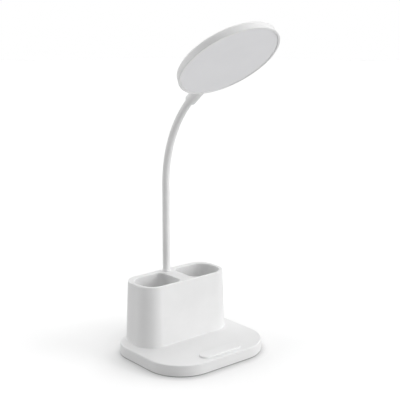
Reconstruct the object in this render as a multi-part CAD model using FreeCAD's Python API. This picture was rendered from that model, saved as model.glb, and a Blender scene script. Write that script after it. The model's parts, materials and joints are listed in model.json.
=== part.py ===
import FreeCAD, Part
import math
import os

# A desk lamp: a round light on a bending neck, which stands on a base with two pen cups.
# The origin is on the table under the middle of the base plate. X runs along the front of the
# base, Y to the back and Z up. All lengths are in millimetres and all angles in degrees.

# Base plate
base_width = 150.0
base_depth = 122.6
base_top = 13.25
base_lift = 0.8
base_front_corner = 43.6
base_back_corner = 32.0
base_top_bevel = 1.2
shell_wall = 2.2

# Cup holder, moulded in one with the plate
holder_side_step = 12.1
holder_back_step = 1.5
holder_depth = 56.95
holder_height = 71.0
holder_corner = 22.8
holder_taper = 2.9
holder_rim_bevel = 1.0
deck_wall = 2.4

# Pen cups, measured at the rim
cup_divider = 16.6
cup_front_wall = 2.6
cup_end_wall = 4.7
cup_back_wall = 8.1
cup_outer_corner = 17.0
cup_inner_corner = 8.0
cup_depth = 58.0
cup_rim_bevel = 0.7
cup_wall = 1.8
cup_floor_wall = 2.0

# Bottom cover, its screws and the feet
cover_recess = 0.4
cover_thick = 2.2
cover_gap = 0.3
foot_length = 15.0
foot_width = 9.0
foot_corner = 2.0
foot_seat = 0.8
foot_gap = 0.1
foot_front_side_gap = 28.0
foot_front_gap = 16.0
foot_back_side_gap = 20.0
foot_back_gap = 15.0
boss_width = 7.0
boss_rib = 1.2
boss_rib_lift = 1.1
boss_side_gap = 9.0
boss_back_gap = 31.3
tongue_x = 24.0
tongue_width = 8.0
tongue_post = 1.5
tongue_lip = 1.4
tongue_gap = 0.2
catch_reach = 1.6
catch_high = 1.2
screw_width = 2.9
screw_head_width = 5.6
screw_head_high = 1.4
screw_length = 8.0
screw_gap = 0.05

# Ballast, bonded to the cover
ballast_width = 96.0
ballast_depth = 40.0
ballast_thick = 4.0
ballast_front_gap = 10.5

# Battery and its cradle, placed by the left side wall of the holder's hollow
battery_width = 18.3
battery_length = 65.0
battery_side_gap = 9.3
battery_board_gap = 2.55
battery_lift = 0.6
cradle_rib = 1.6
cradle_spacing = 40.0
cradle_gap = 0.2
cradle_depth_share = 0.25

# Control board in its end holders, and the charging socket
board_width = 56.0
board_depth = 16.4
board_thick = 1.6
board_lift = 2.2
board_wall_gap = 1.0
board_end_gap = 0.15
holder_block_depth = 10.0
holder_block_wall = 2.0
holder_block_seat = 3.0
chip_size = 5.0
chip_high = 1.0
chip_place_shares = (-0.3, -0.14, 0.18)
socket_width = 8.9
socket_high = 3.2
socket_depth = 7.3
socket_recess = 0.8
socket_gap = 0.3
socket_wall = 0.4
socket_tongue_width = 6.6
socket_tongue_high = 0.7

# Touch pad on the front of the plate and its sensor board
pad_length = 56.0
pad_width = 15.0
pad_front_gap = 6.3
pad_rise = 2.0
pad_seat = 1.0
pad_gap = 0.15
pad_bevel = 1.0
touch_board_length = 44.0
touch_board_width = 9.0
touch_board_thick = 1.0
touch_board_gap = 0.05

# Neck: an upright run that leans a little, then a bend to the front
neck_width = 8.6
neck_back_gap = 10.3
neck_collar_width = 10.6
neck_collar_high = 1.5
neck_upright = 111.9
neck_bend = 105.3
neck_lean = 0.3
neck_end_tilt = 47.5
head_tilt = 50.1
upright_stretches = 5
bend_joints = 6
last_stretch_share = 0.5
saddle_radius = 5.0
saddle_gap = 0.15
lead_width = 2.4
lead_gap = 0.45
strip_width = 5.0
strip_thick = 0.4
strip_gap = 0.1
strip_room = 2.0

# Threaded stud that holds the neck to the deck
stud_width = 5.0
stud_grip = 8.0
stud_gap = 0.1
stud_tail = 1.0
nut_flats = 8.0
nut_thick = 3.2
nut_sides = 6

# Round head, whose neck socket meets its rim
head_radius = 57.6
head_thick = 9.8
head_draft = 0.9
head_back_round = 3.6
head_back_steps = 2
head_wall = 1.6
head_setback = 1.7
collar_width = 13.0
collar_length = 21.3
collar_reach = 2.0
collar_lip = 0.8
socket_bevel = 1.5
ferrule_width = 7.0
ferrule_length = 15.0
ferrule_grip = 4.0
ferrule_gap = 0.08
grub_width = 3.0
grub_length = 2.2
grub_height = 7.0
grub_gap = 0.05

# Light: diffuser let into the head's front, and the board behind it
diffuser_radius = 55.0
diffuser_thick = 1.6
diffuser_sink = 1.0
diffuser_gap = 0.12
ledge_width = 1.6
led_board_radius = 52.0
led_board_sides = 12
led_board_thick = 1.2
led_width = 2.8
led_length = 3.5
led_high = 0.8
led_ring_shares = (0.35, 0.86)
led_counts = (8, 16)

overrun = 1.0
hair = 0.01

# Levels and places that follow from the sizes above
half_width = base_width / 2
half_depth = base_depth / 2
holder_width = base_width - 2 * holder_side_step
rim_level = base_top + holder_height
deck_level = rim_level - deck_wall
cup_floor = rim_level - cup_depth
plate_ceiling = base_top - shell_wall
cover_bottom = base_lift + cover_recess
cover_top = cover_bottom + cover_thick
holder_back = half_depth - holder_back_step
holder_front = holder_back - holder_depth
neck_y = holder_back - neck_back_gap
board_bottom = cover_top + board_lift
board_top = board_bottom + board_thick
board_back = half_depth - shell_wall - board_wall_gap
board_y = board_back - board_depth / 2
hollow_inset = holder_taper + shell_wall
battery_end_x = -holder_width / 2 + hollow_inset + battery_side_gap + battery_length
battery_x = battery_end_x - battery_length / 2
battery_y = board_y - board_depth / 2 - battery_board_gap - battery_width / 2
battery_z = cover_top + battery_lift + battery_width / 2
ballast_y = -half_depth + ballast_front_gap + ballast_depth / 2
pad_y = -half_depth + pad_front_gap + pad_width / 2
neck_radius = neck_width / 2
neck_foot = rim_level + neck_collar_high
head_centre = collar_length + head_radius
face_y = -head_setback - head_thick / 2
back_y = face_y + head_thick
sides = (-1, 1)
foot_front_x = half_width - foot_front_side_gap
foot_front_y = -half_depth + foot_front_gap
foot_back_x = half_width - foot_back_side_gap
foot_back_y = half_depth - foot_back_gap
feet_places = {
    "foot_front_left": (-foot_front_x, foot_front_y),
    "foot_front_right": (foot_front_x, foot_front_y),
    "foot_back_left": (-foot_back_x, foot_back_y),
    "foot_back_right": (foot_back_x, foot_back_y),
}
boss_places = [(side * (half_width - boss_side_gap), half_depth - boss_back_gap) for side in sides]


def at(x, y, z):
    return FreeCAD.Vector(x, y, z)


ORIGIN = at(0, 0, 0)
ALONG_X = at(1, 0, 0)
ALONG_Y = at(0, 1, 0)
UP = at(0, 0, 1)


def arc_from(centre, radius, start, turn, level):
    """A level arc round a centre, from one heading through a turn."""
    points = []
    for share in (0, 1 / 2, 1):
        angle = math.radians(start + turn * share)
        points.append(at(centre[0] + radius * math.cos(angle), centre[1] + radius * math.sin(angle), level))
    return Part.Arc(*points).toShape()


def rounded_outline(left, right, front, back, corners, level):
    """A rectangle with its own radius at each corner, from front left to the left round the right."""
    front_left, front_right, back_right, back_left = corners
    arcs = [
        arc_from((right - front_right, front + front_right), front_right, -90, 90, level),
        arc_from((right - back_right, back - back_right), back_right, 0, 90, level),
        arc_from((left + back_left, back - back_left), back_left, 90, 90, level),
        arc_from((left + front_left, front + front_left), front_left, 180, 90, level),
    ]
    edges = []
    for number, arc in enumerate(arcs):
        start = arcs[number - 1].lastVertex().Point
        end = arc.firstVertex().Point
        if start.distanceToPoint(end) > hair:
            edges.append(Part.LineSegment(start, end).toShape())
        edges.append(arc)
    return Part.Wire(edges)


def plate_outline(inset, level):
    """The base plate's outline, drawn in from its edge."""
    front = base_front_corner - inset
    back = base_back_corner - inset
    x = half_width - inset
    y = half_depth - inset
    return rounded_outline(-x, x, -y, y, (front, front, back, back), level)


def tapered_block(left, right, front, back, corners, low, high, growth):
    """A block with upright-axis corners that grows by an amount on every side from low to high.

    Each corner keeps its own upright axis, so the sides are planes and the corners cones.
    """
    lower = rounded_outline(left, right, front, back, corners, low)
    upper = rounded_outline(left - growth, right + growth, front - growth, back + growth,
                            [radius + growth for radius in corners], high)
    return Part.makeLoft([lower, upper], True, True)


def holder_block(low, high):
    """The holder's tapering outer form between two levels."""
    rise = holder_taper / holder_height
    spread = (base_top - low) * rise
    x = holder_width / 2 + spread
    corners = (holder_corner + spread,) * 4
    return tapered_block(-x, x, holder_front - spread, holder_back + spread, corners, low, high,
                         (low - high) * rise)


def cup_outline(side, growth, level):
    """One cup's outline, grown by an amount."""
    inner = cup_divider / 2 - growth
    outer = holder_width / 2 - holder_taper - cup_end_wall + growth
    front = holder_front + holder_taper + cup_front_wall - growth
    back = holder_back - holder_taper - cup_back_wall + growth
    tight, wide = cup_inner_corner + growth, cup_outer_corner + growth
    if side > 0:
        return rounded_outline(inner, outer, front, back, (tight, wide, wide, tight), level)
    return rounded_outline(-outer, -inner, front, back, (wide, tight, tight, wide), level)


def prism(outline, height):
    return Part.Face(outline).extrude(UP * height)


def rod(width, height, base, axis=UP):
    return Part.makeCylinder(width / 2, height, base, axis)


def block(width, depth, height, centre, level):
    """A box with its middle over a point."""
    corner = at(centre[0] - width / 2, centre[1] - depth / 2, level)
    return Part.makeBox(width, depth, height, corner)


def turned(points, axis=UP):
    """A solid turned about an axis through the origin, from the corners of its half section."""
    return Part.Face(Part.Wire(lines(points + points[:1]))).revolve(ORIGIN, axis, 360)


def lines(points):
    """Straight edges through the points."""
    return [Part.LineSegment(a, b).toShape() for a, b in zip(points[:-1], points[1:])]


def stadium(length, width, centre, level):
    """A level outline with two straight sides and two round ends."""
    x = length / 2
    radius = width / 2
    left, right = centre[0] - x, centre[0] + x
    front, back = centre[1] - radius, centre[1] + radius
    return rounded_outline(left, right, front, back, (radius - hair,) * 4, level)


def edges_on(shape, level):
    """Edges that lie at a level all along."""
    found = []
    for edge in shape.Edges:
        ends = [vertex.Point.z for vertex in edge.Vertexes]
        middle = edge.valueAt((edge.FirstParameter + edge.LastParameter) / 2)
        if all(abs(z - level) < hair for z in ends + [middle.z]):
            found.append(edge)
    return found


def base_housing():
    """Plate and cup holder in one moulding, with its bosses, ribs and openings."""
    plate = prism(plate_outline(0, base_lift), base_top - base_lift)
    plate = plate.makeChamfer(base_top_bevel, edges_on(plate, base_top))
    holder = holder_block(plate_ceiling, rim_level)
    holder = holder.makeChamfer(holder_rim_bevel, edges_on(holder, rim_level))
    body = plate.fuse(holder).removeSplitter()
    body = body.cut(housing_hollow())
    body = body.fuse(housing_bosses())
    for side in sides:
        body = body.cut(cup_space(side))
    for x, y in boss_places:
        body = body.cut(rod(screw_width + 2 * screw_gap, screw_length, at(x, y, cover_top - overrun)))
    body = body.cut(rod(stud_width + 2 * stud_gap, deck_wall + 2 * overrun, at(0, neck_y, deck_level - overrun)))
    body = body.cut(prism(stadium(pad_length + 2 * pad_gap, pad_width + 2 * pad_gap, (0, pad_y),
                                  base_top - pad_seat), pad_seat + overrun))
    return body.cut(socket_window()).removeSplitter()


def housing_hollow():
    """The room inside: under the plate, under the cups, and between and behind them."""
    plate = prism(plate_outline(shell_wall, base_lift - overrun), plate_ceiling - base_lift + overrun)
    x = holder_width / 2 - hollow_inset
    outline = rounded_outline(-x, x, holder_front + hollow_inset, holder_back - hollow_inset,
                              (holder_corner - hollow_inset,) * 4, plate_ceiling - overrun)
    holder = prism(outline, deck_level - plate_ceiling + overrun)
    for side in sides:
        holder = holder.cut(cup_block(side))
    return plate.fuse(holder)


def cup_block(side):
    """The moulding that is left round one cup, out to the end wall and the front wall."""
    inner = cup_divider / 2 - cup_wall
    outer = half_width
    front = -half_depth
    back = holder_back - holder_taper - cup_back_wall + cup_wall
    corner = cup_inner_corner + cup_wall
    low = cup_floor - cup_floor_wall
    small = cup_wall
    if side > 0:
        outline = rounded_outline(inner, outer, front, back, (small, small, small, corner), low)
    else:
        outline = rounded_outline(-outer, -inner, front, back, (small, small, corner, small), low)
    return prism(outline, rim_level - low)


def cup_space(side):
    """What one cup leaves open, with a bevelled mouth."""
    space = prism(cup_outline(side, 0, cup_floor), cup_depth + overrun)
    mouth = Part.makeLoft([cup_outline(side, 0, rim_level - cup_rim_bevel),
                           cup_outline(side, cup_rim_bevel + overrun, rim_level + overrun)], True, True)
    return space.fuse(mouth)


def housing_bosses():
    """Screw bosses with a rib to the side wall, and catches on the front wall for the cover."""
    pieces = []
    top = plate_ceiling
    for x, y in boss_places:
        side = math.copysign(1, x)
        pieces.append(rod(boss_width, top - cover_top + overrun, at(x, y, cover_top)))
        reach = half_width - shell_wall / 2 - abs(x)
        rib_low = cover_top + boss_rib_lift
        pieces.append(block(reach, boss_rib, top - rib_low + overrun, (x + side * reach / 2, y), rib_low))
        middle = -half_depth + shell_wall + (catch_reach - overrun) / 2
        pieces.append(block(tongue_width, catch_reach + overrun, catch_high, (side * tongue_x, middle),
                            cover_top + tongue_gap))
    return pieces[0].multiFuse(pieces[1:])


def socket_window():
    """The slot in the back wall that a charging plug goes through."""
    length = socket_width + 2 * socket_gap
    width = socket_high + 2 * socket_gap
    outline = stadium(length, width, (0, 0), 0)
    slot = Part.Face(outline).extrude(UP * (shell_wall + 2 * overrun))
    slot.rotate(ORIGIN, ALONG_X, -90)
    slot.translate(at(0, half_depth - shell_wall - overrun, board_top + socket_high / 2))
    return slot


def base_cover():
    """Bottom cover with foot seats, countersunk holes, battery cradle, posts and pegs."""
    body = prism(plate_outline(shell_wall + cover_gap, cover_bottom), cover_thick)
    extras = []
    rib_top = battery_z - cradle_depth_share * battery_width - cover_top
    for side in sides:
        x = battery_x + side * cradle_spacing / 2
        extras.append(block(cradle_rib, battery_width + 2 * cradle_rib, rib_top, (x, battery_y), cover_top))
        extras += board_holder(side) + cover_tongue(side)
    body = body.multiFuse(extras)
    body = body.cut(rod(battery_width + 2 * cradle_gap, battery_length,
                        at(battery_x - battery_length / 2, battery_y, battery_z), ALONG_X))
    for place in feet_places.values():
        body = body.cut(foot_form(place, foot_gap, cover_bottom, foot_seat))
    for x, y in boss_places:
        body = body.cut(screw_shape(at(x, y, cover_bottom), screw_gap * 2))
    return body


def board_holder(side):
    """A step that carries one end of the control board, with a wall beyond the board's end."""
    end = side * (board_width / 2 + board_end_gap)
    wall_x = end + side * holder_block_wall / 2
    seat_x = end - side * holder_block_seat / 2
    wall = block(holder_block_wall, holder_block_depth, board_lift + board_thick, (wall_x, board_y), cover_top)
    seat = block(holder_block_seat, holder_block_depth, board_lift, (seat_x, board_y), cover_top)
    return [wall, seat]


def cover_tongue(side):
    """A post on the cover's front edge with a lip that hooks over the catch."""
    x = side * tongue_x
    wall = -half_depth + shell_wall
    post_y = wall + catch_reach + tongue_gap + tongue_post / 2
    lip_depth = catch_reach + tongue_post
    lip_level = cover_top + catch_high + 2 * tongue_gap
    post = block(tongue_width, tongue_post, lip_level - cover_top, (x, post_y), cover_top)
    lip = block(tongue_width, lip_depth, tongue_lip, (x, wall + tongue_gap + lip_depth / 2), lip_level)
    return [post, lip]


def screw_shape(base, growth):
    """A countersunk screw pointing up, grown by a clearance."""
    head = screw_head_width / 2 + growth
    shank = screw_width / 2 + growth
    neck = screw_head_high + growth
    points = [at(0, 0, 0), at(head, 0, 0), at(shank, 0, neck), at(shank, 0, screw_length), at(0, 0, screw_length)]
    screw = turned(points)
    screw.translate(base)
    return screw


def cover_screws():
    return Part.makeCompound([screw_shape(at(x, y, cover_bottom), 0) for x, y in boss_places])


def foot_form(place, growth, low, height):
    """A flat pad with its corners cut off, grown by a clearance."""
    x = foot_length / 2 + growth
    y = foot_width / 2 + growth
    cut = foot_corner + growth * (2 - math.sqrt(2))
    half = [(x, cut - y), (x, y - cut), (x - cut, y), (cut - x, y)]
    outline = half + [(-px, -py) for px, py in half]
    points = [at(place[0] + px, place[1] + py, low) for px, py in outline]
    return prism(Part.Wire(lines(points + points[:1])), height)


def rubber_foot(place):
    return foot_form(place, 0, 0, cover_bottom + foot_seat)


def ballast_plate():
    """Steel weight bonded to the cover, under the front of the plate."""
    return block(ballast_width, ballast_depth, ballast_thick, (0, ballast_y), cover_top)


def battery():
    """A round cell on its side in the cover's cradle."""
    return rod(battery_width, battery_length, at(battery_x - battery_length / 2, battery_y, battery_z), ALONG_X)


def control_board():
    """Charging and dimming board on the cover's steps, with its chips."""
    body = block(board_width, board_depth, board_thick, (0, board_y), board_bottom)
    for share in chip_place_shares:
        body = body.fuse(block(chip_size, chip_size, chip_high, (share * board_width, board_y), board_top))
    return body


def charging_socket():
    """Metal shell of the charging inlet, open to the back, with its tongue."""
    outer = Part.Face(stadium(socket_width, socket_high, (0, 0), 0)).extrude(UP * socket_depth)
    inner = Part.Face(stadium(socket_width - 2 * socket_wall, socket_high - 2 * socket_wall, (0, 0),
                              socket_wall)).extrude(UP * socket_depth)
    body = outer.cut(inner)
    tongue = block(socket_tongue_width, socket_tongue_high, socket_depth - overrun, (0, 0), 0)
    body = body.fuse(tongue)
    body.rotate(ORIGIN, ALONG_X, -90)
    mouth = half_depth - socket_recess
    body.translate(at(0, mouth - socket_depth, board_top + socket_high / 2))
    return body


def touch_pad():
    """Raised pill that senses a finger, let into the top of the plate."""
    body = prism(stadium(pad_length, pad_width, (0, pad_y), base_top - pad_seat), pad_seat + pad_rise)
    return body.makeChamfer(pad_bevel, edges_on(body, base_top + pad_rise))


def touch_board():
    """Sensor board under the plate, below the pad."""
    low = plate_ceiling - touch_board_gap - touch_board_thick
    return block(touch_board_length, touch_board_width, touch_board_thick, (0, pad_y), low)


def neck_collar():
    """Ring between the deck and the foot of the neck."""
    body = rod(neck_collar_width, neck_collar_high, at(0, neck_y, rim_level))
    return body.cut(rod(stud_width + 2 * stud_gap, neck_collar_high + 2 * overrun, at(0, neck_y, rim_level - overrun)))


def stud_bottom():
    return deck_level - nut_thick - stud_tail


def lead_bore():
    return lead_width + 2 * lead_gap


def root_stud():
    """Hollow stud from the neck down through the deck."""
    height = neck_foot + stud_grip - stud_bottom()
    body = rod(stud_width, height, at(0, neck_y, stud_bottom()))
    return body.cut(rod(lead_bore(), height + 2 * overrun, at(0, neck_y, stud_bottom() - overrun)))


def root_nut():
    """Hexagon nut that clamps the stud, with flats to the front and back."""
    low = deck_level - nut_thick
    corner = nut_flats / 2 / math.cos(math.pi / nut_sides)
    points = [at(x, neck_y + y, low) for x, y in ring_places(corner, nut_sides)]
    body = prism(Part.Wire(lines(points + points[:1])), nut_thick)
    return body.cut(rod(stud_width + 2 * stud_gap, nut_thick + 2 * overrun, at(0, neck_y, low - overrun)))


def neck_lead():
    """Lead from the control board up through the stud, to the foot of the neck."""
    low = board_top + hair
    return rod(lead_width, neck_foot + stud_grip - low, at(0, neck_y, low))


def touch_lead():
    """Flat strip from under the sensor board, past the battery, to the control board."""
    level = plate_ceiling - touch_board_gap - touch_board_thick - strip_gap - strip_thick
    x = battery_end_x + strip_room + strip_width / 2
    return block(strip_width, board_y - pad_y, strip_thick, (x, (pad_y + board_y) / 2), level)


def battery_lead():
    """Metal strip on the battery's end, which goes down and back to the edge of the control board."""
    x = battery_end_x + strip_gap + strip_thick / 2
    rise = block(strip_thick, strip_width, battery_z - board_bottom, (x, battery_y), board_bottom)
    reach = board_y - board_depth / 2 - strip_gap - battery_y
    run = block(strip_thick, reach, board_thick, (x, battery_y + reach / 2), board_bottom)
    return rise.fuse(run)


def neck_plan():
    """Joint places and headings: a list of stretches as (start, heading, length)."""
    upright = neck_upright / upright_stretches
    bend = neck_bend / (bend_joints - 1 + last_stretch_share)
    turn = (neck_end_tilt - neck_lean) / bend_joints
    stretches = []
    place = at(0, neck_y, neck_foot)
    for number in range(upright_stretches + bend_joints):
        bent = number - upright_stretches + 1
        length = upright if bent <= 0 else bend
        if bent == bend_joints:
            length = bend * last_stretch_share
        heading = 0 if number == 0 else neck_lean + turn * max(0, bent)
        stretches.append((place, heading, length))
        angle = math.radians(heading)
        place = place + at(0, -math.sin(angle), math.cos(angle)) * length
    return stretches, place


def stand_at(shape, place, heading):
    """Turns an upright shape to a heading and moves its foot to a place."""
    shape.rotate(ORIGIN, ALONG_X, heading)
    shape.translate(place)
    return shape


def hinge_axis(number, heading):
    """Odd joints bend the neck to the front and back, and even ones to the sides."""
    if number % 2:
        return ALONG_X
    angle = math.radians(heading)
    return at(0, math.cos(angle), math.sin(angle))


def saddle(place, axis, growth):
    """The round bar across a joint, about its axis, that both sides of the joint are cut with."""
    width = 2 * (saddle_radius + growth)
    reach = 2 * saddle_radius
    return rod(width, 2 * reach, place - axis * reach, axis)


def above_saddle(place, axis, heading):
    """All that lies above the bar across a joint."""
    reach = 2 * saddle_radius
    room = stand_at(block(2 * reach, 2 * reach, reach, (0, 0), 0), place, heading)
    return room.cut(saddle(place, axis, 0))


def socket_seat():
    """What the head's socket and its ferrule take away from the end of the neck."""
    above = rod(2 * neck_width, 2 * overrun, ORIGIN)
    return above.fuse(rod(ferrule_width + 2 * ferrule_gap, ferrule_grip + overrun, at(0, 0, -ferrule_grip)))


def neck_pieces():
    """Every stretch of the neck by name, from the collar to the head.

    Two stretches meet at a saddle: the lower one ends in a round back about the joint's axis,
    and the upper one has the matching hollow, a small gap wider, so that it can roll on it.
    """
    stretches, end = neck_plan()
    last = len(stretches) - 1
    pieces = {}
    for number, (place, heading, length) in enumerate(stretches):
        top = overrun if number == last else saddle_radius
        body = stand_at(rod(neck_width, length + top, ORIGIN), place, heading)
        if number == 0:
            name = "neck_root"
            body = body.cut(rod(stud_width + 2 * stud_gap, stud_grip + overrun + hair, place - UP * overrun))
        else:
            name = "neck_link_%02d" % number
            body = body.cut(saddle(place, hinge_axis(number, heading), saddle_gap))
        if number == last:
            name = "neck_end"
            body = body.cut(stand_at(socket_seat(), end, head_tilt))
        else:
            joint, turned_to, _ = stretches[number + 1]
            body = body.cut(above_saddle(joint, hinge_axis(number + 1, turned_to), turned_to))
        pieces[name] = body
    return pieces


def disc_profile(radius, face, back, corner, corner_steps, draft):
    """Half section of a disc about the Y axis, whose back edge is rounded off in even bevels."""
    rim = radius - draft
    points = [at(0, face, 0), at(radius, face, 0)]
    for step in range(corner_steps + 1):
        angle = math.radians(90 * step / corner_steps)
        points.append(at(rim - corner * (1 - math.cos(angle)), back - corner * (1 - math.sin(angle)), 0))
    points.append(at(0, back, 0))
    return points


def raise_disc(shape):
    """Moves a shape turned about the Y axis up to the middle of the upright head."""
    shape.translate(at(0, 0, head_centre))
    return shape


def socket_bar(radius, low, high):
    """A round bar along Z with a bevelled upper end."""
    body = rod(2 * radius, high - low, at(0, 0, low))
    return body.makeChamfer(socket_bevel, edges_on(body, high))


def ledge_y():
    """The plane that the back of the diffuser rests on."""
    return face_y + diffuser_sink + diffuser_thick


def opening():
    """The radius of the head's open front."""
    return diffuser_radius + diffuser_gap


def room_foot():
    """How far the room for the light board starts above the mouth of the head's socket."""
    return head_centre - opening() + ledge_width


def head_shell():
    """Back of the head with its neck socket, its room for the board and the ledge for the diffuser."""
    profile = disc_profile(head_radius, face_y, back_y, head_back_round, head_back_steps, head_draft)
    outer = raise_disc(turned(profile, ALONG_Y))
    top = collar_length + collar_reach
    outer = outer.fuse(socket_bar(collar_width / 2, 0, top)).removeSplitter()
    mouth = [edge for edge in outer.Edges if abs(edge.BoundBox.ZMax) < hair]
    outer = outer.makeChamfer(collar_lip, mouth)
    front = rod(2 * opening(), ledge_y() - face_y + overrun, at(0, face_y - overrun, 0), ALONG_Y)
    inner = opening() - ledge_width
    room = rod(2 * inner, back_y - head_wall - ledge_y() + hair, at(0, ledge_y() - hair, 0), ALONG_Y)
    room = raise_disc(room.fuse(front))
    bore = rod(ferrule_width + 2 * ferrule_gap, ferrule_length + ferrule_gap + overrun, at(0, 0, -overrun))
    lead_way = rod(lead_bore(), room_foot() + 2 * overrun, at(0, 0, -overrun))
    grub = rod(grub_width + 2 * grub_gap, collar_width, at(0, 0, grub_height), ALONG_Y)
    return outer.cut(room.multiFuse([bore, lead_way, grub]))


def diffuser():
    """Frosted disc pressed into the front of the head."""
    return raise_disc(rod(2 * diffuser_radius, diffuser_thick, at(0, face_y + diffuser_sink, 0), ALONG_Y))


def led_board_front():
    return back_y - head_wall - led_board_thick


def led_board():
    """Many-sided board bonded to the inside of the head, which carries the light sources."""
    points = [at(x, 0, z) for x, z in ring_places(led_board_radius, led_board_sides)]
    body = Part.Face(Part.Wire(lines(points + points[:1]))).extrude(ALONG_Y * led_board_thick)
    body.translate(at(0, led_board_front(), 0))
    return raise_disc(body)


def ring_places(radius, count):
    """Even places on a ring, as pairs, with half a step before the first."""
    steps = [2 * math.pi * (number + 1 / 2) / count for number in range(count)]
    return [(radius * math.cos(angle), radius * math.sin(angle)) for angle in steps]


def leds():
    """Small light sources in two rings on the board."""
    front = led_board_front() - led_high
    pieces = []
    for share, count in zip(led_ring_shares, led_counts):
        ring = share * led_board_radius
        for number in range(count):
            angle = 360 * (number + 1 / 2) / count
            piece = Part.makeBox(led_length, led_high, led_width, at(ring - led_length / 2, front, -led_width / 2))
            piece.rotate(ORIGIN, ALONG_Y, angle)
            pieces.append(raise_disc(piece))
    return Part.makeCompound(pieces)


def head_ferrule():
    """Steel end fitting: a tube from the end of the neck into the head's socket."""
    height = ferrule_grip + ferrule_length
    body = rod(ferrule_width, height, at(0, 0, -ferrule_grip))
    return body.cut(rod(lead_bore(), height + 2 * overrun, at(0, 0, -ferrule_grip - overrun)))


def grub_screw():
    """Set screw through the back of the socket, against the ferrule."""
    return rod(grub_width, grub_length, at(0, ferrule_width / 2 + ferrule_gap, grub_height), ALONG_Y)


def head_lead():
    """Lead from the end of the neck through the ferrule to the room for the light board."""
    return rod(lead_width, room_foot() + ferrule_grip, at(0, 0, -ferrule_grip))


def put_on_neck(shape):
    """Moves a piece of the upright head to the end of the neck."""
    _, place = neck_plan()
    return stand_at(shape, place, head_tilt)


def all_pieces():
    pieces = {
        "base_housing": base_housing(),
        "base_cover": base_cover(),
        "cover_screws": cover_screws(),
        "ballast_plate": ballast_plate(),
        "battery": battery(),
        "battery_lead": battery_lead(),
        "control_board": control_board(),
        "charging_socket": charging_socket(),
        "touch_pad": touch_pad(),
        "touch_board": touch_board(),
        "touch_lead": touch_lead(),
        "neck_collar": neck_collar(),
        "root_stud": root_stud(),
        "root_nut": root_nut(),
        "neck_lead": neck_lead(),
    }
    for name, place in feet_places.items():
        pieces[name] = rubber_foot(place)
    pieces.update(neck_pieces())
    upright_head = {
        "head_shell": head_shell(),
        "diffuser": diffuser(),
        "led_board": led_board(),
        "leds": leds(),
        "head_ferrule": head_ferrule(),
        "grub_screw": grub_screw(),
        "head_lead": head_lead(),
    }
    for name, shape in upright_head.items():
        pieces[name] = put_on_neck(shape)
    return pieces


os.makedirs("parts", exist_ok=True)
for node, shape in all_pieces().items():
    shape.exportStep("parts/%s.step" % node)
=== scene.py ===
import json
import math

import bmesh
import bpy
import numpy as np
from mathutils import Matrix, Vector
from mathutils.geometry import delaunay_2d_cdt


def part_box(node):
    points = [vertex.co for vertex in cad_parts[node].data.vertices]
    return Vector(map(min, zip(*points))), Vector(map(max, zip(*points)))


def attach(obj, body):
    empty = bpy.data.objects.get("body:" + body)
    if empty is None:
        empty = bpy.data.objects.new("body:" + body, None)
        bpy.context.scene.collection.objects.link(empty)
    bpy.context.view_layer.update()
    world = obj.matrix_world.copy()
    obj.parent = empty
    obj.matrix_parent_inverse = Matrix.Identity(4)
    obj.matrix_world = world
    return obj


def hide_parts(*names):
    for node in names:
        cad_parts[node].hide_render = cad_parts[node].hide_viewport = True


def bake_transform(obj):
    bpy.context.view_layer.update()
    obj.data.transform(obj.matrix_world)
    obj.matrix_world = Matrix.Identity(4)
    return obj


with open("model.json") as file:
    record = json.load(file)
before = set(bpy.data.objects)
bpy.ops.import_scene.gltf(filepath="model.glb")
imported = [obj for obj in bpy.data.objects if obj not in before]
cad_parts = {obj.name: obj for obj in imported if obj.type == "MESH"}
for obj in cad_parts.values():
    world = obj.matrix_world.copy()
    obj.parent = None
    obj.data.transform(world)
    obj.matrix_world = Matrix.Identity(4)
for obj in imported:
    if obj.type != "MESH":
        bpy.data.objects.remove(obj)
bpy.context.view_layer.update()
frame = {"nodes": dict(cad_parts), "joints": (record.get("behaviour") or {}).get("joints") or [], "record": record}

# The looks of a desk lamp: a round light on a bending neck, on a base plate with two pen cups.
# Shapes are worked out in millimetres in the model's own frame, and become metres in the mesh.
MM = 0.001

# Points closer than NEAR become one, and FLAT_NEAR is the same for the corners of flat faces.
NEAR = 0.002
FLAT_NEAR = NEAR / 100
TRIANGLES_INSIDE = 1

# Fineness of the meshes
CORNER_POINTS = 19
EDGE_POINTS = 7
DISC_TURNS = 192
ROD_TURNS = 64
SLEEVE_RINGS = 13
SHARP_ANGLE = math.radians(32)
EDGE_HOLD = 0.12

# Base plate, in millimetres
plate_top = 13.25
plate_front_corner = 43.6
plate_back_corner = 32.0
plate_edge = 1.3
plate_foot_edge = 0.15
shell_wall = 2.2

# Pen cup holder
holder_half = 62.9
holder_depth = 56.95
holder_back_step = 1.5
holder_corner = 22.8
holder_taper = 2.9
holder_rim_edge = 1.0
holder_foot_fillet = 1.2
deck_wall = 2.4

# Pen cups at the rim
cup_inner_x = 8.3
cup_end_wall = 4.7
cup_front_wall = 2.6
cup_back_wall = 8.1
cup_outer_corner = 17.0
cup_inner_corner = 8.0
cup_depth = 58.0
cup_rim_edge = 0.8
cup_floor_fillet = 3.0
cup_floor_wall = 2.0

# Room inside the base, and the shaft for the neck's stud
shaft_half = 6.5
shaft_corner = 1.8
stud_hole = 2.6
panel_half = 8.0

# Charging slot in the back wall
slot_length = 9.5
slot_height = 3.8
slot_level = 8.8
slot_points = 48

# Touch pad and its seat
pad_seat = 1.0
pad_gap = 0.15
pad_edge = 1.0

# Collar ring and neck sleeve
ring_edge = 0.5
sleeve_radius = 4.3
sleeve_bore = 2.6
ferrule_bore = 3.58

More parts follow.
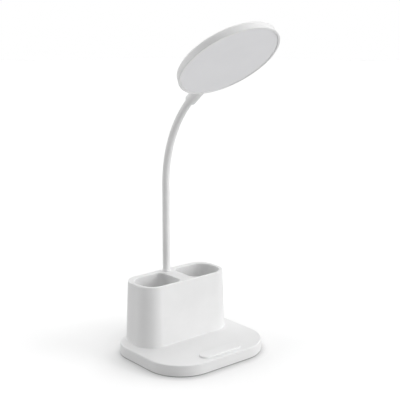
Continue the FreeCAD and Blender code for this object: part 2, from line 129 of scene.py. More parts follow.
# Round head, upright, with its neck axis along Z and its face to the front
head_tilt = 50.1
neck_end_tilt = 47.5
last_stretch_share = 0.5
head_radius = 57.6
head_thick = 9.8
head_setback = 1.7
head_draft = 0.9
head_back_round = 3.6
head_face_edge = 0.8
head_wall = 1.6
socket_radius = 6.5
socket_length = 21.3
socket_reach = 2.0
socket_lip = 0.8
socket_top_round = 1.5
ferrule_seat = 15.08
lead_bore = 1.65
grub_hole = 1.55
grub_height = 7.0

# Diffuser
diffuser_radius = 55.0
diffuser_thick = 1.6
diffuser_sink = 0.45
diffuser_gap = 0.12
diffuser_edge = 0.5
ledge_width = 1.6


def box_mm(node):
    """Lowest and highest corner of a CAD node, in millimetres."""
    low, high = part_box(node)
    return np.array(low) / MM, np.array(high) / MM


housing_low, housing_high = box_mm("base_housing")
plate_half_x = housing_high[0]
plate_half_y = housing_high[1]
plate_bottom = housing_low[2]
rim_level = housing_high[2]
deck_level = rim_level - deck_wall
plate_ceiling = plate_top - shell_wall
cup_floor = rim_level - cup_depth
holder_back = plate_half_y - holder_back_step
holder_front = holder_back - holder_depth
holder_height = rim_level - plate_top
hinges = np.array([joint["pos_m"] for joint in frame["joints"]]) / MM


class Skin:
    """Points and faces of one piece, gathered from grids and flat faces until they become a mesh."""

    def __init__(self):
        self.points = []
        self.faces = []
        self.count = 0

    def add(self, points, faces):
        """Takes in points and their faces, whose numbers go on from the points so far."""
        points = points.reshape(-1, 3)
        self.points.append(points)
        self.faces.append(faces + self.count)
        self.count += len(points)

    def grid(self, points, closed_rows=False, left_out=()):
        """Quads between neighbouring rows of a grid whose columns run round and close.

        Quad (r, c) has the corners (r, c), (r, c + 1), (r + 1, c + 1) and (r + 1, c).
        """
        rows, columns, _ = points.shape
        row = np.arange(rows if closed_rows else rows - 1)[:, None]
        column = np.arange(columns)[None, :]
        above = (row + 1) % rows
        beside = (column + 1) % columns
        places = ((row, column), (row, beside), (above, beside), (above, column))
        corners = [place_row * columns + place_column for place_row, place_column in places]
        quads = np.stack(np.broadcast_arrays(*corners), axis=-1)
        keep = np.ones(quads.shape[:2], bool)
        for place in left_out:
            keep[place] = False
        self.add(points, quads[keep])

    def flat(self, loops, axis, level):
        """A flat face at a level of one axis, inside the first loop and outside the others, as
        triangles between the loops' own points."""
        points = np.concatenate(loops)
        starts = np.cumsum([0] + [len(loop) for loop in loops])
        edges = []
        for start, end in zip(starts[:-1], starts[1:]):
            ring = np.arange(start, end)
            edges += np.stack([ring, np.roll(ring, -1)], axis=-1).tolist()
        pairs = [Vector(pair) for pair in points.tolist()]
        found = delaunay_2d_cdt(pairs, edges, [], TRIANGLES_INSIDE, FLAT_NEAR)
        corners = np.array([list(pair) for pair in found[0]])
        triangles = np.array(found[2])
        middles = corners[triangles].mean(axis=1)
        keep = inside(middles, loops[0])
        for loop in loops[1:]:
            keep &= ~inside(middles, loop)
        self.add(np.insert(corners, axis, level, axis=1), triangles[keep])

    def piece(self, name, place=None):
        """The closed mesh as an object, still in millimetres: doubles merged, faces outwards."""
        mesh = bpy.data.meshes.new(name)
        faces = [face for block in self.faces for face in block.tolist()]
        mesh.from_pydata(np.concatenate(self.points), [], faces)
        work = bmesh.new()
        work.from_mesh(mesh)
        bmesh.ops.remove_doubles(work, verts=work.verts, dist=NEAR)
        bmesh.ops.recalc_face_normals(work, faces=work.faces)
        work.to_mesh(mesh)
        work.free()
        if place is not None:
            mesh.transform(place)
        made = bpy.data.objects.new(name, mesh)
        bpy.context.scene.collection.objects.link(made)
        return made


def inside(points, loop):
    """Whether points lie in a closed loop: a line from each to the right crosses it an odd number
    of times."""
    x, y = points[:, 0, None], points[:, 1, None]
    ax, ay = loop[:, 0], loop[:, 1]
    bx, by = np.roll(ax, -1), np.roll(ay, -1)
    rise = np.where(by == ay, 1, by - ay)
    crosses = ((ay > y) != (by > y)) & (x < ax + (y - ay) * (bx - ax) / rise)
    return crosses.sum(axis=1) % 2 == 1


def finished(piece):
    """Smooth faces with sharp creases, and the mesh in metres."""
    mesh = piece.data
    mesh.transform(Matrix.Scale(MM, 4))
    mesh.polygons.foreach_set("use_smooth", np.ones(len(mesh.polygons), bool))
    mesh.set_sharp_from_angle(angle=SHARP_ANGLE)
    mesh.update()
    return piece


def quarter():
    """Even angles over a quarter turn, for a rounded edge or a fillet."""
    return np.linspace(0, math.pi / 2, EDGE_POINTS)


def rounded_edge(radius):
    """Steps (inward, upward) round a convex edge from a wall's top to a flat, a quarter circle:
    (radius * (1 - cos a), radius * (sin a - 1))."""
    return np.stack([radius * (1 - np.cos(quarter())), radius * (np.sin(quarter()) - 1)], axis=-1)


def outline(left, right, front, back, corners):
    """A rounded rectangle as points (x, y), run round to the left from its front right corner.

    Each corner is its centre + its radius * (cos a, sin a) over a quarter turn, and the back and
    front have one more point at each side of the middle panel.
    """
    radii = np.array(corners, float)
    centres = np.array([
        (right - radii[0], front + radii[0]),
        (right - radii[1], back - radii[1]),
        (left + radii[2], back - radii[2]),
        (left + radii[3], front + radii[3]),
    ])
    turns = np.radians((-90, 0, 90, 180))[:, None] + np.linspace(0, math.pi / 2, CORNER_POINTS)
    arcs = centres[:, None] + radii[:, None, None] * np.stack([np.cos(turns), np.sin(turns)], axis=-1)
    middle = (left + right) / 2
    panel = min(panel_half, (right - left) / 2 - radii.max()) * np.array((1, -1))
    back_points = np.stack([middle + panel, np.full(2, back)], axis=-1)
    front_points = np.stack([middle - panel, np.full(2, front)], axis=-1)
    return np.concatenate([arcs[0], arcs[1], back_points, arcs[2], arcs[3], front_points])


BACK_PANEL = 2 * CORNER_POINTS


def plate_outline(inset):
    """The base plate's outline, drawn in by an inset on every side."""
    front = plate_front_corner - inset
    back = plate_back_corner - inset
    x = plate_half_x - inset
    y = plate_half_y - inset
    return outline(-x, x, -y, y, (front, back, back, front))


def holder_outline(growth):
    """The holder's outline at its foot, grown by an amount."""
    x = holder_half + growth
    return outline(-x, x, holder_front - growth, holder_back + growth, (holder_corner + growth,) * 4)


def taper_at(level):
    """How far the holder's wall leans in at a level: its whole taper times the share of its height."""
    return holder_taper * (level - plate_top) / holder_height


def cup_outline(side, growth):
    """One cup's outline, grown by an amount, on the left (-1) or the right (1). The corners
    beside the neck are the tighter ones."""
    inner = cup_inner_x - growth
    outer = holder_half - holder_taper - cup_end_wall + growth
    front = holder_front + holder_taper + cup_front_wall - growth
    back = holder_back - holder_taper - cup_back_wall + growth
    tight, wide = cup_inner_corner + growth, cup_outer_corner + growth
    if side > 0:
        return outline(inner, outer, front, back, (wide, wide, tight, tight))
    return outline(-outer, -inner, front, back, (tight, tight, wide, wide))


def shaft_outline():
    """The stud's shaft between the cups, as deep as the room inside the holder."""
    front = holder_front + holder_taper + shell_wall
    back = holder_back - holder_taper - shell_wall
    return outline(-shaft_half, shaft_half, front, back, (shaft_corner,) * 4)


def circle(radius, centre=(0, 0), turns=ROD_TURNS):
    """A circle: its centre + radius * (cos a, sin a)."""
    angles = np.arange(turns) * 2 * math.pi / turns
    return np.array(centre) + radius * np.stack([np.cos(angles), np.sin(angles)], axis=-1)


def raised(loop, level):
    """A level loop as points (x, y, z)."""
    return np.insert(loop, 2, level, axis=1)


def stacked(loops):
    """Loops (outline, level) as one grid of points."""
    return np.stack([raised(loop, level) for loop, level in loops])


def plate_wall_loops():
    """Outside of the plate, from its bottom edge up round its top edge."""
    bottom = rounded_edge(plate_foot_edge)[::-1]
    loops = [(plate_outline(inset), plate_bottom - up) for inset, up in bottom]
    loops.append((plate_outline(0), plate_bottom + plate_foot_edge + EDGE_HOLD))
    loops.append((plate_outline(0), plate_top - plate_edge - EDGE_HOLD))
    loops += [(plate_outline(inset), plate_top + up) for inset, up in rounded_edge(plate_edge)]
    loops.append((plate_outline(plate_edge + EDGE_HOLD), plate_top))
    return loops


def holder_wall_loops():
    """Outside of the holder: a fillet at its foot, the tapering wall and the rounded rim."""
    fillet = holder_foot_fillet
    foot = [(fillet * (1 - math.sin(a)), plate_top + fillet * (1 - math.cos(a))) for a in quarter()]
    growths = [(fillet + EDGE_HOLD, plate_top)] + foot
    growths.append((0, plate_top + fillet + EDGE_HOLD))
    growths.append((0, rim_level - holder_rim_edge - EDGE_HOLD))
    growths += [(-inset, rim_level + up) for inset, up in rounded_edge(holder_rim_edge)]
    growths.append((-holder_rim_edge - EDGE_HOLD, rim_level))
    return [(holder_outline(growth - taper_at(level)), level) for growth, level in growths]


def cup_loops(side):
    """Inside of one cup, from its rounded mouth down to its floor's fillet."""
    mouth = rounded_edge(cup_rim_edge)[::-1]
    growths = [(cup_rim_edge + EDGE_HOLD, rim_level)]
    growths += [(inset, rim_level + up) for inset, up in mouth]
    growths.append((0, rim_level - cup_rim_edge - EDGE_HOLD))
    fillet = cup_floor_fillet
    growths.append((0, cup_floor + fillet + EDGE_HOLD))
    growths += [(fillet * (math.cos(a) - 1), cup_floor + fillet * (1 - math.sin(a))) for a in quarter()]
    growths.append((-fillet - EDGE_HOLD, cup_floor))
    return [(cup_outline(side, growth), level) for growth, level in growths]


def inner_loops():
    """The room inside: the bottom rim, under the plate, under the cups and up the stud's shaft."""
    rim = plate_outline(shell_wall)
    room = holder_outline(-holder_taper - shell_wall)
    shaft = shaft_outline()
    under_cups = cup_floor - cup_floor_wall
    return [
        (plate_outline(plate_foot_edge), plate_bottom),
        (rim, plate_bottom),
        (rim, plate_ceiling),
        (room, plate_ceiling),
        (room, under_cups),
        (shaft, under_cups),
        (shaft, deck_level),
    ]


def slot_outline():
    """The charging slot in the back wall as points (x, z): a bar with two round ends."""
    radius = slot_height / 2
    angles = np.linspace(-math.pi / 2, math.pi / 2, slot_points // 2)
    across = slot_length / 2 - radius + radius * np.cos(angles)
    right = np.stack([across, slot_level + radius * np.sin(angles)], axis=-1)
    left = right * (-1, -1) + (0, 2 * slot_level)
    return np.concatenate([right, left])


def pad_outline(growth):
    """The touch pad's outline: a bar with two round ends, from the CAD pad's own box."""
    low, high = box_mm("touch_pad")
    radius = (high[1] - low[1]) / 2 + growth
    return outline(low[0] - growth, high[0] + growth, low[1] - growth, high[1] + growth, (radius,) * 4)


def standing_panel(low, high):
    """A rectangle (x, z) across the back panel between two levels."""
    return np.array([(panel_half, low), (panel_half, high), (-panel_half, high), (-panel_half, low)])


def base_moulding():
    """Plate and pen cup holder in one moulding, hollow below, with its cups, pad seat and slot."""
    skin = Skin()
    wall = plate_wall_loops()
    panel_row = EDGE_POINTS
    skin.grid(stacked(wall), left_out=[(panel_row, BACK_PANEL)])
    room = inner_loops()
    skin.grid(stacked(room), left_out=[(1, BACK_PANEL)])
    slot = slot_outline()
    skin.flat([standing_panel(wall[panel_row][1], wall[panel_row + 1][1]), slot], 1, plate_half_y)
    skin.flat([standing_panel(plate_bottom, plate_ceiling), slot], 1, plate_half_y - shell_wall)
    skin.grid(np.stack([np.insert(slot, 1, y, axis=1) for y in (plate_half_y - shell_wall, plate_half_y)]))

    holder = holder_wall_loops()
    skin.grid(stacked(holder))
    seat = pad_outline(pad_gap)
    skin.flat([wall[-1][0], holder[0][0], seat], 2, plate_top)
    skin.grid(stacked([(seat, plate_top), (seat, plate_top - pad_seat)]))
    skin.flat([seat], 2, plate_top - pad_seat)

    neck_place = hinges[0][:2]
    hole = circle(stud_hole, neck_place)
    cups = [cup_loops(side) for side in (-1, 1)]
    skin.flat([holder[-1][0], cups[0][0][0], cups[1][0][0], hole], 2, rim_level)
    skin.grid(stacked([(hole, rim_level), (hole, deck_level)]))
    skin.flat([room[-1][0], hole], 2, deck_level)
    for cup in cups:
        skin.grid(stacked(cup))
        skin.flat([cup[-1][0]], 2, cup_floor)
    return finished(skin.piece("base_moulding"))


def pad_cap():
    """Touch pad: straight sides, a rounded top edge and a flat top."""
    low, high = box_mm("touch_pad")
    steps = [(0, low[2]), (0, high[2] - pad_edge - EDGE_HOLD)]
    steps += [(-inset, high[2] + up) for inset, up in rounded_edge(pad_edge)]
    steps.append((-pad_edge - EDGE_HOLD, high[2]))
    skin = Skin()
    skin.grid(stacked([(pad_outline(growth), level) for growth, level in steps]))
    skin.flat([pad_outline(steps[0][0])], 2, low[2])
    skin.flat([pad_outline(steps[-1][0])], 2, high[2])
    return finished(skin.piece("touch_pad_cap"))


def lathed(profile, turns):
    """A profile of (radius, height) turned about the upright axis: each point goes to
    (radius * cos a, radius * sin a, height) for every angle a."""
    angles = np.arange(turns) * 2 * math.pi / turns
    radius, height = np.array(profile).T
    return np.stack([
        radius[:, None] * np.cos(angles),
        radius[:, None] * np.sin(angles),
        np.broadcast_to(height[:, None], (len(height), turns)),
    ], axis=-1)


def corner_round(corner, radius, before, after):
    """Points of a quarter circle at a square corner of a profile, between two unit directions:
    corner + radius * (before * (1 - sin a) + after * (1 - cos a))."""
    angles = quarter()
    before, after = np.array(before), np.array(after)
    share = np.stack([1 - np.sin(angles), 1 - np.cos(angles)], axis=-1)
    return [tuple(point) for point in np.array(corner) + radius * (share @ np.stack([before, after]))]


def collar_ring():
    """Ring at the foot of the neck, with a rounded top edge."""
    low, high = box_mm("neck_collar")
    outer = (high[0] - low[0]) / 2
    profile = [(stud_hole, low[2]), (outer, low[2])]
    profile += corner_round((outer, high[2]), ring_edge, (0, -1), (-1, 0))
    profile.append((stud_hole, high[2]))
    skin = Skin()
    skin.grid(lathed(profile, ROD_TURNS) + (*hinges[0][:2], 0), closed_rows=True)
    return finished(skin.piece("neck_ring"))


def tilted(angle):
    """Direction of the upright axis after it leans to the front by an angle."""
    return np.array([0, -math.sin(angle), math.cos(angle)])


def neck_end():
    """Where the neck meets the head: half a stretch beyond the last hinge, along its own tilt."""
    stretch = np.linalg.norm(hinges[-1] - hinges[-2])
    return hinges[-1] + last_stretch_share * stretch * tilted(math.radians(neck_end_tilt))


def neck_foot():
    """Where the neck stands on its collar ring, below the first hinge."""
    return np.array([hinges[0][0], hinges[0][1], box_mm("neck_collar")[1][2]])


def sleeve_part(start, hinge, end, bore):
    """One part of the neck's sleeve about a hinge.

    Its middle line is (1 - t)^2 * start + 2 t (1 - t) * hinge + t^2 * end, so that neighbours
    share their direction where they meet. Each ring is a circle square to that line, and the
    surface is closed by the bore and two flat end rings.
    """
    t = np.linspace(0, 1, SLEEVE_RINGS)[:, None]
    middle = (1 - t) ** 2 * start + 2 * t * (1 - t) * hinge + t ** 2 * end
    along = (1 - t) * (hinge - start) + t * (end - hinge)
    along /= np.linalg.norm(along, axis=1, keepdims=True)
    across = np.array([1.0, 0, 0])
    other = np.cross(along, across)
    angles = np.arange(ROD_TURNS) * 2 * math.pi / ROD_TURNS
    ring = np.cos(angles)[:, None] * across + np.sin(angles)[:, None] * other[:, None]
    outer = middle[:, None] + sleeve_radius * ring
    inner = middle[:, None] + bore * ring
    return np.concatenate([outer, inner[::-1]])


def neck_sleeve():
    """The white sleeve as one part for each hinge, from the middle of one stretch to the next."""
    middles = (hinges[:-1] + hinges[1:]) / 2
    ends = np.concatenate([[neck_foot()], middles, [neck_end()]])
    parts = []
    for number, joint in enumerate(frame["joints"]):
        last = number == len(hinges) - 1
        bore = ferrule_bore if last else sleeve_bore
        skin = Skin()
        skin.grid(sleeve_part(ends[number], hinges[number], ends[number + 1], bore), closed_rows=True)
        part = finished(skin.piece("neck_sleeve_%02d" % (number + 1)))
        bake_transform(part)
        parts.append(part)
    return parts


head_face = -head_setback - head_thick / 2
head_back = head_face + head_thick
head_centre = socket_length + head_radius
ledge_y = head_face + diffuser_sink + diffuser_thick
opening = diffuser_radius + diffuser_gap


def head_place():
    """Turns the upright head to its tilt and moves it to the neck's end."""
    return Matrix.Translation(neck_end()) @ Matrix.Rotation(math.radians(head_tilt), 4, "X")


def laid_back(height):
    """Lays a lathed solid's axis along Y, at a height on the upright head's own axis."""
    return Matrix.Translation((0, 0, height)) @ Matrix.Rotation(math.radians(-90), 4, "X")


def lathed_solid(name, profile, turns, place):
    """A solid turned from a profile that starts and ends on the axis."""
    skin = Skin()
    skin.grid(lathed(profile, turns))
    return skin.piece(name, place)


def disc_profile():
    """Outside of the head: flat face, rounded face edge, drafted side and rounded back edge."""
    side_end = head_back - head_back_round
    back_radius = head_radius - head_draft
    profile = [(0, head_face), (head_radius - head_face_edge - EDGE_HOLD, head_face)]
    profile += corner_round((head_radius, head_face), head_face_edge, (-1, 0), (0, 1))
    profile.append((back_radius, side_end - EDGE_HOLD))
    profile += corner_round((back_radius, head_back), head_back_round, (0, -1), (-1, 0))
    profile += [(back_radius - head_back_round - EDGE_HOLD, head_back), (0, head_back)]
    return profile


def socket_profile():
    """The neck socket as a bar from its lip up into the disc."""
    top = socket_length + socket_reach
    profile = [(0, 0), (socket_radius - socket_lip - EDGE_HOLD, 0)]
    profile += corner_round((socket_radius, 0), socket_lip, (-1, 0), (0, 1))
    profile.append((socket_radius, socket_lip + EDGE_HOLD))
    profile.append((socket_radius, top - socket_top_round - EDGE_HOLD))
    profile += corner_round((socket_radius, top), socket_top_round, (0, -1), (-1, 0))
    profile += [(socket_radius - socket_top_round - EDGE_HOLD, top), (0, top)]
    return profile


def room_profile():
    """What the head leaves open: the light board's room, the ledge and the diffuser's seat."""
    inner = opening - ledge_width
    deep = head_back - head_wall
    proud = head_face - head_wall
    return [(0, proud), (opening, proud), (opening, ledge_y), (inner, ledge_y), (inner, deep), (0, deep)]


def bore_profile():
    """The way through the socket: the ferrule's seat, then the lead's narrower bore to the room."""
    below = -socket_lip
    top = head_centre - opening + 2 * ledge_width
    return [(0, below), (ferrule_bore, below), (ferrule_bore, ferrule_seat), (lead_bore, ferrule_seat),
            (lead_bore, top), (0, top)]


def combined(body, other, operation):
    """The body after a Boolean with the other solid, which is used up."""
    step = body.modifiers.new("shape", "BOOLEAN")
    step.operation = operation
    step.solver = "EXACT"
    step.object = other
    evaluated = body.evaluated_get(bpy.context.evaluated_depsgraph_get())
    mesh = bpy.data.meshes.new_from_object(evaluated)
    body.modifiers.clear()
    body.data = mesh
    bpy.data.objects.remove(other)
    return body


def head_cover():
    """Back of the light with its neck socket, hollow in front for the board and the diffuser."""
    upright = Matrix.Identity(4)
    disc_place = laid_back(head_centre)
    reach = 2 * socket_radius
    hole_profile = [(0, 0), (grub_hole, 0), (grub_hole, reach), (0, reach)]
    body = lathed_solid("head_cover", disc_profile(), DISC_TURNS, disc_place)
    for name, profile, turns, place, operation in (
        ("socket_bar", socket_profile(), ROD_TURNS, upright, "UNION"),
        ("room", room_profile(), DISC_TURNS, disc_place, "DIFFERENCE"),
        ("bore", bore_profile(), ROD_TURNS, upright, "DIFFERENCE"),
        ("hole", hole_profile, ROD_TURNS, laid_back(grub_height), "DIFFERENCE"),
    ):
        body = combined(body, lathed_solid(name, profile, turns, place), operation)
    body.data.transform(head_place())
    return finished(body)


def light_diffuser():
    """Frosted disc with a softly rounded front edge."""
    front = head_face + diffuser_sink
    profile = [(0, front), (diffuser_radius - diffuser_edge - EDGE_HOLD, front)]
    profile += corner_round((diffuser_radius, front), diffuser_edge, (-1, 0), (0, 1))
    profile += [(diffuser_radius, ledge_y), (0, ledge_y)]
    body = lathed_solid("light_diffuser", profile, DISC_TURNS, laid_back(head_centre))
    body.data.transform(head_place())
    return finished(body)


def add_node(tree, kind, settings=(), **inputs):
    """A shader node with its settings and inputs, each a value or another node's output."""
    made = tree.nodes.new(kind)
    for name, value in dict(settings).items():
        setattr(made, name, value)
    for name, value in inputs.items():
        socket = made.inputs[name.replace("_", " ")]
        if isinstance(value, bpy.types.NodeSocket):
            tree.links.new(value, socket)
        else:
            socket.default_value = value
    return made


def new_group(name, inputs, outputs):
    """An empty shader group with named number sockets, its input node and its output node."""
    tree = bpy.data.node_groups.new(name, "ShaderNodeTree")
    for label, value in inputs.items():
        socket = tree.interface.new_socket(label, in_out="INPUT", socket_type="NodeSocketFloat")
        socket.default_value = value
    for label in outputs:
        tree.interface.new_socket(label, in_out="OUTPUT", socket_type="NodeSocketFloat")
    return tree, tree.nodes.new("NodeGroupInput"), tree.nodes.new("NodeGroupOutput")


# Mould grain and handling clouds, which all plastics share
group_scales = {"Grain Scale": 2600.0, "Cloud Scale": 24.0}
grain_noise = {"Detail": 3.0, "Roughness": 0.6}
grain_strength = 1.0
cloud_noise = {"Detail": 4.0, "Roughness": 0.55}
cloud_low = 0.35
cloud_high = 0.65

# Plastics: colour, its darker shade, roughness from and to, grain scale, grain depth in metres
plastics = {
    "white_plastic": ((0.89, 0.89, 0.89), (0.86, 0.86, 0.86), (0.42, 0.5), 2600.0, 0.00001),
    "cover_plastic": ((0.78, 0.78, 0.775), (0.74, 0.74, 0.737), (0.5, 0.6), 1500.0, 0.00003),
    "pad_plastic": ((0.90, 0.90, 0.90), (0.88, 0.88, 0.88), (0.28, 0.34), 3000.0, 0.000004),
    "neck_rubber": ((0.87, 0.87, 0.87), (0.84, 0.84, 0.84), (0.5, 0.6), 3500.0, 0.000008),
    "foot_rubber": ((0.11, 0.11, 0.115), (0.08, 0.08, 0.084), (0.75, 0.9), 1800.0, 0.00004),
    "frosted_plastic": ((0.885, 0.885, 0.90), (0.865, 0.865, 0.88), (0.5, 0.58), 4200.0, 0.000006),
    "led_plastic": ((0.9, 0.72, 0.16), (0.84, 0.64, 0.1), (0.3, 0.4), 2000.0, 0.00001),
    "wire_plastic": ((0.02, 0.02, 0.02), (0.012, 0.012, 0.012), (0.4, 0.5), 2000.0, 0.00001),
}

# Metals: colour, its darker shade, roughness from and to, streak scale along X, Y and Z
metals = {
    "steel": ((0.62, 0.62, 0.64), (0.5, 0.5, 0.52), (0.25, 0.4), (400, 400, 4000)),
    "ballast_iron": ((0.36, 0.36, 0.37), (0.2, 0.2, 0.21), (0.45, 0.65), (300, 2600, 300)),
}
streak_noise = {"Scale": 1.0, "Detail": 4.0}
streak_strength = 0.4
streak_depth = 0.00002

# Boards: lacquer and track colours, then what both boards share
boards = {
    "board_green": ((0.012, 0.11, 0.035), (0.05, 0.24, 0.08)),
    "board_aluminium": ((0.78, 0.78, 0.77), (0.7, 0.7, 0.69)),
}
board_roughness = (0.3, 0.42)
track_scale = 420.0
track_inner = 0.03
track_outer = 0.09
track_strength = 0.5
track_depth = 0.00003

# Shrink wrap of the battery
wrap_shade = (0.05, 0.17, 0.42)
wrap_colour = (0.07, 0.22, 0.5)
wrap_roughness = (0.22, 0.34)
crease_wave = {"Scale": 160.0, "Distortion": 3.0, "Detail": 3.0}
crease_strength = 0.3
crease_depth = 0.00003


def mould_grain_group():
    """Fine spark-eroded mould grain as a height, and soft clouds where the surface was handled."""
    tree, given, result = new_group("mould_grain", group_scales, ("Height", "Clouds"))
    place = add_node(tree, "ShaderNodeTexCoord").outputs["Object"]
    grain = add_node(tree, "ShaderNodeTexNoise", Vector=place, Scale=given.outputs["Grain Scale"],
                     **grain_noise)
    clouds = add_node(tree, "ShaderNodeTexNoise", Vector=place, Scale=given.outputs["Cloud Scale"],
                      **cloud_noise)
    spread = add_node(tree, "ShaderNodeMapRange", Value=clouds.outputs["Fac"], From_Min=cloud_low,
                      From_Max=cloud_high)
    tree.links.new(grain.outputs["Fac"], result.inputs["Height"])
    tree.links.new(spread.outputs["Result"], result.inputs["Clouds"])


def new_material(name):
    """An empty node material with its shader and output."""
    material = bpy.data.materials.new(name)
    material.use_nodes = True
    tree = material.node_tree
    tree.nodes.clear()
    shader = tree.nodes.new("ShaderNodeBsdfPrincipled")
    output = tree.nodes.new("ShaderNodeOutputMaterial")
    tree.links.new(shader.outputs["BSDF"], output.inputs["Surface"])
    return material, tree, shader


def mixed_colour(tree, factor, first, second):
    """A colour between two others, by a factor from another node."""
    made = add_node(tree, "ShaderNodeMix", {"data_type": "RGBA"})
    colours = [socket for socket in made.inputs if socket.type == "RGBA"]
    colours[0].default_value = (*first, 1)
    colours[1].default_value = (*second, 1)
    tree.links.new(factor, made.inputs["Factor"])
    return [socket for socket in made.outputs if socket.type == "RGBA"][0]


def ranged(tree, value, low, high):
    """A value from 0 to 1 moved to another range."""
    return add_node(tree, "ShaderNodeMapRange", Value=value, To_Min=low, To_Max=high).outputs["Result"]


def surface(tree, shader, factor, shade, colour, roughness, height, strength, depth):
    """Colour and roughness between two values each, by a factor, and bump from a height."""
    tree.links.new(mixed_colour(tree, factor, shade, colour), shader.inputs["Base Color"])
    tree.links.new(ranged(tree, factor, *roughness), shader.inputs["Roughness"])
    bump = add_node(tree, "ShaderNodeBump", Height=height, Strength=strength, Distance=depth)
    tree.links.new(bump.outputs["Normal"], shader.inputs["Normal"])


def plastic(name, colour, shade, roughness, grain_scale, grain_depth):
    """A moulded finish: grain as bump, and clouds that shift colour and roughness a little."""
    material, tree, shader = new_material(name)
    grain = add_node(tree, "ShaderNodeGroup", {"node_tree": bpy.data.node_groups["mould_grain"]},
                     Grain_Scale=grain_scale)
    surface(tree, shader, grain.outputs["Clouds"], shade, colour, roughness,
            grain.outputs["Height"], grain_strength, grain_depth)
    return material


def metal(name, colour, shade, roughness, brush):
    """Plated or rolled metal: streaks along one axis as bump and colour."""
    material, tree, shader = new_material(name)
    place = add_node(tree, "ShaderNodeTexCoord").outputs["Object"]
    stretched = add_node(tree, "ShaderNodeMapping", Vector=place, Scale=brush)
    streaks = add_node(tree, "ShaderNodeTexNoise", Vector=stretched.outputs["Vector"], **streak_noise)
    factor = streaks.outputs["Fac"]
    surface(tree, shader, factor, shade, colour, roughness, factor, streak_strength, streak_depth)
    shader.inputs["Metallic"].default_value = 1.0
    return material


def circuit_board(name, lacquer, track):
    """Lacquered board with a net of paler tracks under the lacquer."""
    material, tree, shader = new_material(name)
    place = add_node(tree, "ShaderNodeTexCoord").outputs["Object"]
    cells = add_node(tree, "ShaderNodeTexVoronoi", {"feature": "DISTANCE_TO_EDGE"}, Vector=place,
                     Scale=track_scale)
    lines = add_node(tree, "ShaderNodeMapRange", Value=cells.outputs["Distance"],
                     From_Min=track_inner, From_Max=track_outer, To_Min=1.0, To_Max=0.0)
    factor = lines.outputs["Result"]
    surface(tree, shader, factor, lacquer, track, board_roughness, factor, track_strength, track_depth)
    return material


def cell_wrap(name):
    """Shrink wrap on the battery, with fine creases round it."""
    material, tree, shader = new_material(name)
    place = add_node(tree, "ShaderNodeTexCoord").outputs["Object"]
    creases = add_node(tree, "ShaderNodeTexWave", {"bands_direction": "X"}, Vector=place, **crease_wave)
    factor = creases.outputs["Fac"]
    surface(tree, shader, factor, wrap_shade, wrap_colour, wrap_roughness, factor, crease_strength,
            crease_depth)
    return material


def materials_by_slot():
    """The finish of each material slot of the record."""
    mould_grain_group()
    made = {"cell_wrap": cell_wrap("cell_wrap")}
    for kind, looks in ((plastic, plastics), (metal, metals), (circuit_board, boards)):
        made.update({name: kind(name, *look) for name, look in looks.items()})
    return made


def dress(pieces):
    """Gives each CAD node and each new piece the finish of its slot."""
    finishes = materials_by_slot()
    for row in frame["record"]["subparts"]:
        mesh = frame["nodes"][row["node"]].data
        mesh.materials.clear()
        mesh.materials.append(finishes[row["material_slot"]])
    for piece, name in pieces:
        piece.data.materials.clear()
        piece.data.materials.append(finishes[name])


def build():
    """Makes the pieces that stand for CAD nodes, and dresses all that shows."""
    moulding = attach(base_moulding(), "base")
    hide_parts("base_housing")
    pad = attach(pad_cap(), "base")
    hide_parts("touch_pad")
    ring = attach(collar_ring(), "base")
    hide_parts("neck_collar")
    sleeve = neck_sleeve()
    links = ["neck_link_%02d" % number for number in range(1, len(hinges))]
    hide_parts("neck_root", *links, "neck_end")
    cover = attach(head_cover(), "head")
    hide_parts("head_shell")
    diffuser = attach(light_diffuser(), "head")
    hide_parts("diffuser")
    dressed = [(moulding, "white_plastic"), (pad, "pad_plastic"), (ring, "white_plastic"),
               (cover, "white_plastic"), (diffuser, "frosted_plastic")]
    dress(dressed + [(part, "neck_rubber") for part in sleeve])


# Camera: where the photograph was taken from, in metres and degrees
camera_place = (-0.6413, -0.7870, 0.4194)
camera_azimuth = 39.63
camera_elevation = 13.34
camera_lens = 84.08
sensor_width = 36.0
clip_near = 0.05
clip_far = 50

# Floor: its tone to the camera and to all other rays, its glow to the camera, and the painted
# contact shadow's reach in metres, its darkest share of the tone and its samples
floor_radius = 4.0
floor_drop = 0.0001
floor_tone = 1.0
floor_bounce = 0.65
floor_lift = 0.12
painted_shadow_reach = 0.12
painted_shadow_darkest = 0.15
painted_shadow_samples = 16

# Light: the world's strength to rays that neither the camera sends nor glass lets through, the
# width of each lamp in degrees, and the lamps by name, azimuth, elevation and strength
world_strength = 0.0
light_width = 50
softboxes = (
    ("front_softbox", 0, 12, 0.55),
    ("right_front_softbox", 45, 12, 2.03),
    ("back_softbox", 180, 12, 0.81),
    ("left_back_softbox", 225, 12, 1.12),
    ("right_softbox", 90, 38, 0.36),
    ("right_back_softbox", 135, 38, 0.33),
    ("high_right_back_softbox", 135, 65, 0.82),
    ("high_left_front_softbox", 315, 65, 0.84),
)


def set_camera():
    """Camera at the photograph's place and angle."""
    camera = bpy.data.objects.new("camera", bpy.data.cameras.new("camera"))
    camera.data.lens = camera_lens
    camera.data.sensor_width = sensor_width
    camera.data.clip_start = clip_near
    camera.data.clip_end = clip_far
    a, e = math.radians(camera_azimuth), math.radians(camera_elevation)
    ahead = Vector((math.sin(a) * math.cos(e), math.cos(a) * math.cos(e), -math.sin(e)))
    camera.location = camera_place
    camera.rotation_euler = ahead.to_track_quat("-Z", "Y").to_euler()
    bpy.context.scene.collection.objects.link(camera)
    bpy.context.scene.camera = camera


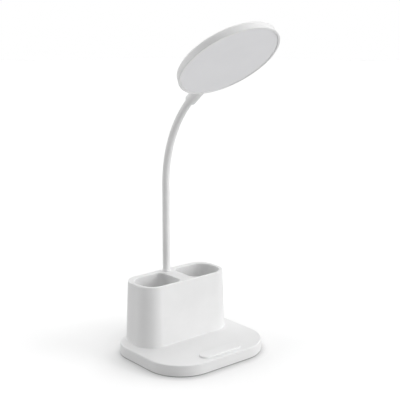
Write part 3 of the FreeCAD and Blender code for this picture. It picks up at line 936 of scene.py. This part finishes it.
def floor_material():
    """Pale matt floor that the camera sees as white and that keeps the lamps' shadow.

    To the camera alone it glows a little. It also darkens where the object closes it off: a painted
    shadow from ambient occlusion, which draws part of the soft shadow beside the base, while the rest
    is the lamps' own shadow. To all other rays it is duller.
    """
    material = bpy.data.materials.new("floor")
    material.use_nodes = True
    tree = material.node_tree
    tree.nodes.clear()
    diffuse = tree.nodes.new("ShaderNodeBsdfDiffuse")
    rays = add_node(tree, "ShaderNodeLightPath")
    # Painted shadow: ambient occlusion darkens the floor's colour, to the camera only, near the object
    near = add_node(tree, "ShaderNodeAmbientOcclusion", {"samples": painted_shadow_samples},
                    Distance=painted_shadow_reach)
    shade = add_node(tree, "ShaderNodeMapRange", Value=near.outputs["AO"],
                     To_Min=floor_tone * painted_shadow_darkest, To_Max=floor_tone)
    tone = add_node(tree, "ShaderNodeMapRange", Value=rays.outputs["Is Camera Ray"],
                    To_Min=floor_bounce, To_Max=shade.outputs["Result"])
    tree.links.new(tone.outputs["Result"], diffuse.inputs["Color"])
    seen = add_node(tree, "ShaderNodeMath", {"operation": "MULTIPLY"})
    tree.links.new(rays.outputs["Is Camera Ray"], seen.inputs[0])
    seen.inputs[1].default_value = floor_lift
    glow = add_node(tree, "ShaderNodeEmission", Strength=seen.outputs["Value"])
    both = tree.nodes.new("ShaderNodeAddShader")
    tree.links.new(diffuse.outputs["BSDF"], both.inputs[0])
    tree.links.new(glow.outputs["Emission"], both.inputs[1])
    output = tree.nodes.new("ShaderNodeOutputMaterial")
    tree.links.new(both.outputs["Shader"], output.inputs["Surface"])
    return material


def lay_floor():
    """A wide round floor just under the feet."""
    mesh = bpy.data.meshes.new("floor")
    points = raised(circle(floor_radius), -floor_drop)
    mesh.from_pydata(points, [], [list(range(len(points)))])
    mesh.materials.append(floor_material())
    floor = bpy.data.objects.new("floor", mesh)
    bpy.context.scene.collection.objects.link(floor)


def set_world():
    """White to the camera and through glass. To all other rays, reflections too, it has its own
    strength, which is nothing: the lamps alone light the object."""
    world = bpy.data.worlds.new("studio")
    bpy.context.scene.world = world
    world.use_nodes = True
    tree = world.node_tree
    tree.nodes.clear()
    rays = add_node(tree, "ShaderNodeLightPath")
    seen = add_node(tree, "ShaderNodeMath", {"operation": "MAXIMUM"})
    tree.links.new(rays.outputs["Is Camera Ray"], seen.inputs[0])
    tree.links.new(rays.outputs["Is Transmission Ray"], seen.inputs[1])
    strength = add_node(tree, "ShaderNodeMapRange", Value=seen.outputs["Value"],
                        To_Min=world_strength, To_Max=1.0)
    background = add_node(tree, "ShaderNodeBackground", Color=(1, 1, 1, 1),
                          Strength=strength.outputs["Result"])
    output = tree.nodes.new("ShaderNodeOutputWorld")
    tree.links.new(background.outputs["Background"], output.inputs["Surface"])


def soft_light(name, azimuth, elevation, strength):
    """A wide, even light from one side. Azimuth 0 comes from the front and 90 from the right."""
    light = bpy.data.lights.new(name, "SUN")
    light.angle = math.radians(light_width)
    light.energy = strength
    lamp = bpy.data.objects.new(name, light)
    a, e = math.radians(azimuth), math.radians(elevation)
    source = Vector((math.sin(a) * math.cos(e), -math.cos(a) * math.cos(e), math.sin(e)))
    lamp.rotation_euler = source.to_track_quat("Z", "Y").to_euler()
    bpy.context.scene.collection.objects.link(lamp)


def set_stage():
    """Camera, floor, world and lamps, with colours shown as they are."""
    scene = bpy.context.scene
    scene.view_settings.view_transform = "Standard"
    set_camera()
    lay_floor()
    set_world()
    for name, azimuth, elevation, strength in softboxes:
        soft_light(name, azimuth, elevation, strength)


build()
set_stage()
